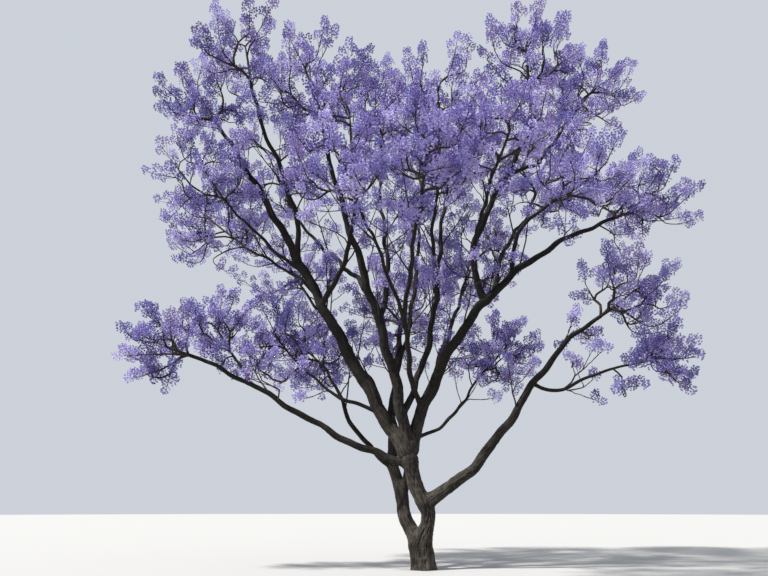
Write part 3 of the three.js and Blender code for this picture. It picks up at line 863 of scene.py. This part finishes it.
def tubes(points, radii, sides):
    """Many chains at once as closed tubes: rings of a few corners round each point of each chain."""
    chains, knots = points.shape[:2]
    ways = unit(np.gradient(points, axis=1))
    first, second = squared(across(unit(points[:, -1:] - points[:, :1]))[0], ways)
    ring = on_circle(math.tau * np.arange(sides) / sides, first[:, :, None], second[:, :, None])
    spots = points[:, :, None] + radii[:, :, None, None] * ring
    base = (np.arange(chains) * knots * sides)[:, None, None]
    quads = (grid_faces(knots, sides) + base).reshape(-1, 4)
    last = (knots - 1) * sides
    ends = np.stack([np.arange(sides)[::-1], last + np.arange(sides)])
    return spots.reshape(-1, 3), [quads, (ends + base).reshape(-1, sides)]


# Flowers


class Flowers:
    """Every flower, in a row for each panicle: its foot beside the panicle's axis, further off low down,
    its way outwards and a little astray, and its length."""

    def __init__(self):
        share = np.clip(strewn(len(panicles.way), FLOWERS), 0, 1)
        out, onward = spiral(panicles.way, FLOWERS), panicles.way[:, None]
        off = (0.088 - 0.055 * share) * chance.uniform(0.7, 1.25, share.shape)
        middle = panicles.foot[:, None] + onward * (share * panicles.length[:, None])[..., None] * 0.92
        self.foot = middle + out * off[..., None]
        astray = unit(chance.normal(size=out.shape))
        self.way = unit(out + 0.35 * onward + 0.45 * astray - 0.1 * UP)
        self.length = chance.uniform(*FLOWER_LENGTH, share.shape)


def petals(foot, way, length):
    """Corners and faces of flowers: each lobe is a triangle from the foot to two corners of the mouth.
    A corner is the foot, plus the flower's length times its height along the way and its reach
    across, at an angle of a fifth of a turn per lobe, less or more half a lobe's width."""
    spin = chance.random(len(foot)) * math.tau
    reach, half, height = LOBE
    lobe = np.arange(LOBES)
    angle = (360 / LOBES * lobe[:, None] + half * np.array([-1, 1])).ravel()
    local = np.concatenate([np.zeros((1, 3)), reach * direction(angle, 0) + height * UP])
    u = on_circle(spin, *across(way))
    v = np.cross(way, u)
    spots = foot[:, None] + length[:, None, None] * (local @ np.stack([u, v, way], 1))
    faces = np.stack([0 * lobe, 1 + 2 * lobe, 2 + 2 * lobe], -1)
    base = (np.arange(len(foot)) * len(local))[:, None, None]
    return spots.reshape(-1, 3), (faces + base).reshape(-1, 3)


# Finishes


class Shade:
    """A number on its way through a material's nodes. Arithmetic on it adds Math nodes."""

    def __init__(self, finish, socket):
        self.finish, self.socket = finish, socket

    def _math(self, operation, first, second):
        return self.finish.node("ShaderNodeMath", {"operation": operation}, {0: first, 1: second})

    def __add__(self, other):
        return self._math("ADD", self, other)

    __radd__ = __add__

    def __mul__(self, other):
        return self._math("MULTIPLY", self, other)

    __rmul__ = __mul__

    def __sub__(self, other):
        return self._math("SUBTRACT", self, other)

    def __rsub__(self, other):
        return self._math("SUBTRACT", other, self)

    def __pow__(self, other):
        return self._math("POWER", self, other)


class Finish:
    """One material. Its constant values are set on its shader."""

    def __init__(self, name, **values):
        self.material = bpy.data.materials.new(name)
        self.material.use_nodes = True
        self.tree = self.material.node_tree
        self.shader = self.tree.nodes["Principled BSDF"]
        self.dress(**values)

    def dress(self, **values):
        """Sets the shader's own sockets by their names."""
        for key, value in values.items():
            self.feed(value, self.shader.inputs[key.replace("_", " ")])

    def feed(self, value, socket):
        """Sets a socket to a constant value, or links it to a shade."""
        if isinstance(value, Shade):
            self.tree.links.new(value.socket, socket)
        elif socket.type == "RGBA" and len(value) == 3:
            socket.default_value = (*value, 1)
        else:
            socket.default_value = value

    def node(self, kind, settings=None, sockets=None, out=0):
        """A new node: its settings first, then values or links of its sockets. Gives one output."""
        made = self.tree.nodes.new(kind)
        for key, value in (settings or {}).items():
            setattr(made, key, value)
        for key, value in (sockets or {}).items():
            self.feed(value, made.inputs[key])
        return Shade(self, made.outputs[out])

    def noise(self, scale, stretch, detail, roughness=0.55):
        """Noise over the object's own places, which are stretched first."""
        place = self.node("ShaderNodeTexCoord", out=3)
        where = self.node("ShaderNodeMapping", {}, {"Vector": place, "Scale": stretch})
        sockets = {"Vector": where, "Scale": scale, "Detail": detail, "Roughness": roughness}
        return self.node("ShaderNodeTexNoise", {}, sockets)

    def blend(self, share, first, second):
        return self.node("ShaderNodeMix", {"data_type": "RGBA"}, {0: share, 6: first, 7: second}, out=2)

    def ramp(self, value, stops):
        """Colours from one stop to the next by the value. A new ramp has two stops already."""
        made = self.node("ShaderNodeValToRGB", {}, {0: value})
        elements = made.socket.node.color_ramp.elements
        for _ in stops[2:]:
            elements.new(0.5)
        for element, (place, colour) in zip(elements, stops):
            element.position, element.color = place, (*colour, 1)
        return made


# Colours of the bark from furrow to ridge, darker than grey-brown bark as painted shade of the crown, the
# young bark nearly black; and of the pale patches on aged wood
# painted shade: the aged bark's colours are darkened, as the trunk looks in the crown's shade
OLD_SHADED_BARK = [(0.15, (0.005, 0.0042, 0.0035)), (0.5, (0.021, 0.0175, 0.014)), (0.85, (0.092, 0.079, 0.064))]
# painted shade: the young bark's colours are nearly black, as the boughs look in the crown's shade
YOUNG_SHADED_BARK = [
    (0.1, (0.0035, 0.0029, 0.0026)),
    (0.55, (0.009, 0.0074, 0.0061)),
    (1.0, (0.022, 0.018, 0.015)),
]
PATCH = (0.19, 0.17, 0.14)
PATCH_EDGE = [(0.56, (0, 0, 0)), (0.76, (1, 1, 1))]
TWIG_BARK = (0.030, 0.022, 0.018)
SHEEN = 0.25  # specular level of bark and petals


def bark_finish():
    """Grey-brown ridges over dark furrows, darkened throughout as painted shade of the crown, and darkest
    high on the boughs and on thin wood, with paler patches on the aged wood.
    """
    finish = Finish("jacaranda_bark", Specular_IOR_Level=SHEEN)
    furrow = finish.node("ShaderNodeAttribute", {"attribute_name": "furrow"}, out=2)
    # painted shade: this number falls high up under the crown, where the darker young colours are painted
    # on
    age = finish.node("ShaderNodeAttribute", {"attribute_name": "age"}, out=2)
    mottle = finish.noise(1.7, (1, 1, 0.6), detail=6)
    grain = finish.noise(38, (1, 1, 0.3), detail=8, roughness=0.7)
    flake = finish.noise(9, (1, 1, 0.5), detail=4)
    relief = furrow * 0.42 + grain * 0.5 + mottle * 0.4 - 0.18
    bark = finish.blend(age**1.3, finish.ramp(relief, YOUNG_SHADED_BARK), finish.ramp(relief, OLD_SHADED_BARK))
    patch = finish.ramp(mottle * 0.6 + flake * 0.5, PATCH_EDGE)
    bark = finish.blend(patch * age**2 * 0.4, bark, PATCH)
    sockets = {"Strength": 0.55, "Distance": 0.012, "Height": grain + 0.5 * flake}
    bump = finish.node("ShaderNodeBump", {}, sockets)
    finish.dress(Base_Color=bark, Roughness=0.95 - 0.2 * grain, Normal=bump)
    return finish


# Pieces

bark = bark_finish()
twig_bark = Finish("twig_bark", Base_Color=TWIG_BARK, Roughness=0.85, Specular_IOR_Level=SHEEN)

trunk_piece = bark_piece("trunk_bark_skin", [limbs["trunk"]], bark)
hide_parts("trunk")

# The boughs' skins are one piece for each side of the crown: the first side that a bough's name holds
pieces = [trunk_piece]
for side in QUARTERS:
    some = [limb for limb in boughs if next(word for word in QUARTERS if word in limb.name) == side]
    piece = bark_piece(f"bough_bark_{side}", some, bark)
    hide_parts(*[f"bough_{limb.name}" for limb in some])
    pieces.append(piece)

twigs = [tubes(points, radii, 5) for points, radii in main_twigs()] + [tubes(*spray_twigs(), 4)]
twig_piece = put("twigs", *joined(twigs), twig_bark, True)
stalk_piece = put("panicle_stalks", *tubes(*panicle_stalks(), 3), twig_bark, True)
pieces += [twig_piece, stalk_piece]

# Tints are dealt out by spray, with some panicles a step lighter or darker than their spray
nodes = [f"blossom_{limb.name}" for limb in boughs]
flowers = Flowers()
spray_tint = chance.integers(0, len(TINTS), len(sprays))
shift = chance.choice([-1, 0, 0, 0, 1], len(panicles.length))
tint_of = (spray_tint[panicles.spray] + shift) % len(TINTS)
for number, (name, colour) in enumerate(TINTS.items()):
    some = tint_of == number
    foot, way = flowers.foot[some].reshape(-1, 3), flowers.way[some].reshape(-1, 3)
    corners, faces = petals(foot, way, flowers.length[some].ravel())
    petal = Finish("petal_" + name, Base_Color=colour, Roughness=0.62, Specular_IOR_Level=SHEEN)
    piece = put("blossom_" + name, corners, [faces], petal)
    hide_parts(*nodes)
    pieces.append(piece)

for piece in pieces:
    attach(piece, "root")

# Floor, light and camera
FLOOR_RADIUS = 150
FLOOR_SIDES = 64
SKY_LIGHT = (0.86, 0.91, 1.0, 1)
SKY_STRENGTH = 0.7
KEY_LIGHT = (1.0, 0.97, 0.93)
KEY_STRENGTH = 7.0
KEY_BREADTH = 4  # degrees
KEY_HEADING = 204  # where it comes from
KEY_CLIMB = 50
CAMERA_PLACE = (-1.02, -18.8, 1.5)  # at eye level
CAMERA_TILT = 17.37  # degrees above the horizon
CAMERA_LENS = 32.81  # millimetres
CAMERA_SENSOR = 36  # millimetres wide
CAMERA_REACH = 400

floor_mesh = bpy.data.meshes.new("floor")
rim = FLOOR_RADIUS * direction(np.linspace(0, 360, FLOOR_SIDES + 1)[:-1], 0)
floor_mesh.from_pydata(rim.tolist(), [], [list(range(FLOOR_SIDES))])
floor = stand("floor", floor_mesh)
floor_mesh.materials.append(Finish("pale_floor", Base_Color=(0.40, 0.40, 0.39), Roughness=0.9).material)

scene.view_settings.view_transform = "Standard"
world = bpy.data.worlds.new("studio")
scene.world = world
world.use_nodes = True
sky = world.node_tree.nodes["Background"].inputs
sky["Color"].default_value, sky["Strength"].default_value = SKY_LIGHT, SKY_STRENGTH

lamp = bpy.data.lights.new("key", "SUN")
lamp.energy, lamp.angle, lamp.color = KEY_STRENGTH, math.radians(KEY_BREADTH), KEY_LIGHT
key = stand("key", lamp)
key.rotation_euler = np.radians([90 - KEY_CLIMB, 0, 90 + KEY_HEADING])

lens = bpy.data.cameras.new("camera")
lens.sensor_width, lens.lens, lens.clip_end = CAMERA_SENSOR, CAMERA_LENS, CAMERA_REACH
camera = stand("camera", lens)
camera.location = CAMERA_PLACE
camera.rotation_euler = (math.radians(90 + CAMERA_TILT), 0, 0)
scene.camera = camera
